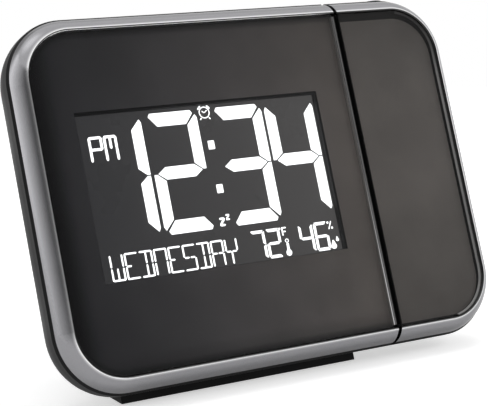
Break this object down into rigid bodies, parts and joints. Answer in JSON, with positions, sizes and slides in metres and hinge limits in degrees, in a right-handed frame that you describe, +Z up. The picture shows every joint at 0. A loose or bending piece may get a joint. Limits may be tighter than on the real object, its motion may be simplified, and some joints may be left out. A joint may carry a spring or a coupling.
{
  "type": "projection alarm clock",
  "caption": "Leaning digital alarm clock with a smoked display front in a silver bezel, a turning projection arm on its right end, a top snooze bar and a flat rear foot.",
  "frame": {"origin": "middle of the overall box at the floor, under the clock, on the plane its rubber strips rest on", "axes": "+X to the viewer's right along the face and the arm's pivot, +Y from the face towards the back of the foot, +Z up"},
  "size_m": [0.17, 0.0598, 0.1235],
  "materials": {
    "silver_plastic": "silver-painted gloss plastic with a soft sheen",
    "lens_plastic": "smoke-tinted clear plastic, polished",
    "arm_lens_plastic": "smoke-tinted clear plastic, polished",
    "black_frame_plastic": "black moulded plastic, satin",
    "shell_plastic": "black moulded plastic, fine-textured",
    "door_plastic": "black moulded plastic, fine-textured",
    "snooze_plastic": "silver-grey painted plastic, satin",
    "button_plastic": "dark grey moulded plastic, satin",
    "ring_plastic": "black moulded plastic, knurled",
    "chassis_plastic": "black moulded plastic, matt",
    "holder_plastic": "white moulded plastic",
    "guide_acrylic": "clear acrylic with a frosted back",
    "lcd": "liquid-crystal glass with a dark polariser",
    "imager_lcd": "small liquid-crystal glass",
    "optic_clear": "clear moulded optical plastic",
    "led_lens": "red tinted clear epoxy",
    "backlight_white": "small white LEDs on a strip",
    "circuit_board": "green-lacquered glass-fibre board",
    "chip_resin": "black epoxy blob",
    "crystal_can": "tinned steel can",
    "elastomer": "striped silicone connector",
    "screw_steel": "zinc-plated steel",
    "spring_steel": "nickel-plated spring wire",
    "contact_steel": "nickel-plated spring steel sheet",
    "cell_jacket": "plain lacquered steel cell jacket",
    "switch_plastic": "black switch housing",
    "buzzer_brass": "brass disc",
    "sensor_case": "white moulded sensor case",
    "jack_plastic": "black moulded plastic",
    "pin_metal": "nickel-plated pin",
    "bush_plastic": "natural acetal",
    "shaft_plastic": "black glass-filled nylon",
    "washer_steel": "spring steel",
    "lead_sleeve": "black flexible sleeve",
    "connector_nylon": "natural nylon connector",
    "barrel_plastic": "black moulded plastic, matt",
    "foot_plastic": "black moulded plastic, fine-textured",
    "foot_rubber": "soft black rubber"
  },
  "bodies": {
    "clock_body": {"body_bezel": "silver_plastic", "display_lens": "lens_plastic", "front_frame": "black_frame_plastic", "lcd_glass": "lcd", "light_guide": "guide_acrylic", "backlight_leds": "backlight_white", "zebra_strip": "elastomer", "lcd_holder": "holder_plastic", "main_board": "circuit_board", "board_screws": "screw_steel", "controller_chip": "chip_resin", "quartz_crystal": "crystal_can", "rear_housing": "shell_plastic", "housing_screws": "screw_steel", "battery_cells": "cell_jacket", "battery_springs": "spring_steel", "battery_plates": "contact_steel", "button_board": "circuit_board", "tact_switches": "switch_plastic", "snooze_springs": "spring_steel", "snooze_board": "circuit_board", "piezo_buzzer": "buzzer_brass", "sensor_board": "circuit_board", "climate_sensor": "sensor_case", "power_inlet": "jack_plastic", "power_pin": "pin_metal", "pivot_bush": "bush_plastic", "friction_washer": "washer_steel", "pivot_lead": "lead_sleeve", "lead_header": "connector_nylon", "foot": "foot_plastic", "foot_screws": "screw_steel", "rubber_strips": "foot_rubber"},
    "projection_arm": {"retaining_clip": "washer_steel", "pivot_shaft": "shaft_plastic", "pivot_screws": "screw_steel", "lead_socket": "connector_nylon", "arm_bezel": "silver_plastic", "arm_face": "arm_lens_plastic", "arm_front_frame": "black_frame_plastic", "arm_shell": "shell_plastic", "arm_screws": "screw_steel", "arm_board": "circuit_board", "arm_board_screws": "screw_steel", "optical_chassis": "chassis_plastic", "led_board": "circuit_board", "projector_led": "led_lens", "condenser_lens": "optic_clear", "projector_lcd": "imager_lcd"},
    "focus_ring": {"focus_ring": "ring_plastic"},
    "lens_barrel": {"lens_barrel": "barrel_plastic", "projection_lens": "optic_clear"},
    "snooze_bar": {"snooze_bar": "snooze_plastic"},
    "battery_door": {"battery_door": "door_plastic"},
    "time_button": {"time_button": "button_plastic"},
    "alarm_button": {"alarm_button": "button_plastic"},
    "down_button": {"down_button": "button_plastic"},
    "up_button": {"up_button": "button_plastic"},
    "projection_button": {"projection_button": "button_plastic"},
    "flip_button": {"flip_button": "button_plastic"}
  },
  "joints": [
    {"name": "arm_turn", "type": "hinge", "parent": "clock_body", "child": "projection_arm", "pos_m": [0.0403, -0.00087, 0.063], "axis": [1, 0, 0], "range_deg": [-90, 90]},
    {"name": "focus_turn", "type": "hinge", "parent": "projection_arm", "child": "focus_ring", "pos_m": [0.0627, 0.02132, 0.1213], "axis": [0, 0.3256, 0.9455], "range_deg": [-90, 90]},
    {"name": "lens_focus", "type": "slide", "parent": "projection_arm", "child": "lens_barrel", "axis": [0, 0.3256, 0.9455], "range_m": [-0.0012, 0.0012]},
    {"name": "snooze_press", "type": "slide", "parent": "clock_body", "child": "snooze_bar", "axis": [0, -0.3256, -0.9455], "range_m": [0, 0.0012], "stiffness_N_per_m": 500, "springref_m": -0.0015, "deforming": ["snooze_springs"]},
    {"name": "door_swing", "type": "hinge", "parent": "clock_body", "child": "battery_door", "pos_m": [-0.02175, 0.00196, 0.02209], "axis": [-1, 0, 0], "range_deg": [0, 75]},
    {"name": "time_press", "type": "slide", "parent": "clock_body", "child": "time_button", "axis": [0, -0.9455, 0.3256], "range_m": [0, 0.0006], "stiffness_N_per_m": 900, "springref_m": -0.0006},
    {"name": "alarm_press", "type": "slide", "parent": "clock_body", "child": "alarm_button", "axis": [0, -0.9455, 0.3256], "range_m": [0, 0.0006], "stiffness_N_per_m": 900, "springref_m": -0.0006},
    {"name": "down_press", "type": "slide", "parent": "clock_body", "child": "down_button", "axis": [0, -0.9455, 0.3256], "range_m": [0, 0.0006], "stiffness_N_per_m": 900, "springref_m": -0.0006},
    {"name": "up_press", "type": "slide", "parent": "clock_body", "child": "up_button", "axis": [0, -0.9455, 0.3256], "range_m": [0, 0.0006], "stiffness_N_per_m": 900, "springref_m": -0.0006},
    {"name": "projection_press", "type": "slide", "parent": "clock_body", "child": "projection_button", "axis": [0, -0.9455, 0.3256], "range_m": [0, 0.0006], "stiffness_N_per_m": 900, "springref_m": -0.0006},
    {"name": "flip_press", "type": "slide", "parent": "clock_body", "child": "flip_button", "axis": [0, -0.9455, 0.3256], "range_m": [0, 0.0006], "stiffness_N_per_m": 900, "springref_m": -0.0006}
  ],
  "couplings": [
    {"joint": "focus_turn", "follows": "lens_focus", "rad_per_m": 1309}
  ]
}
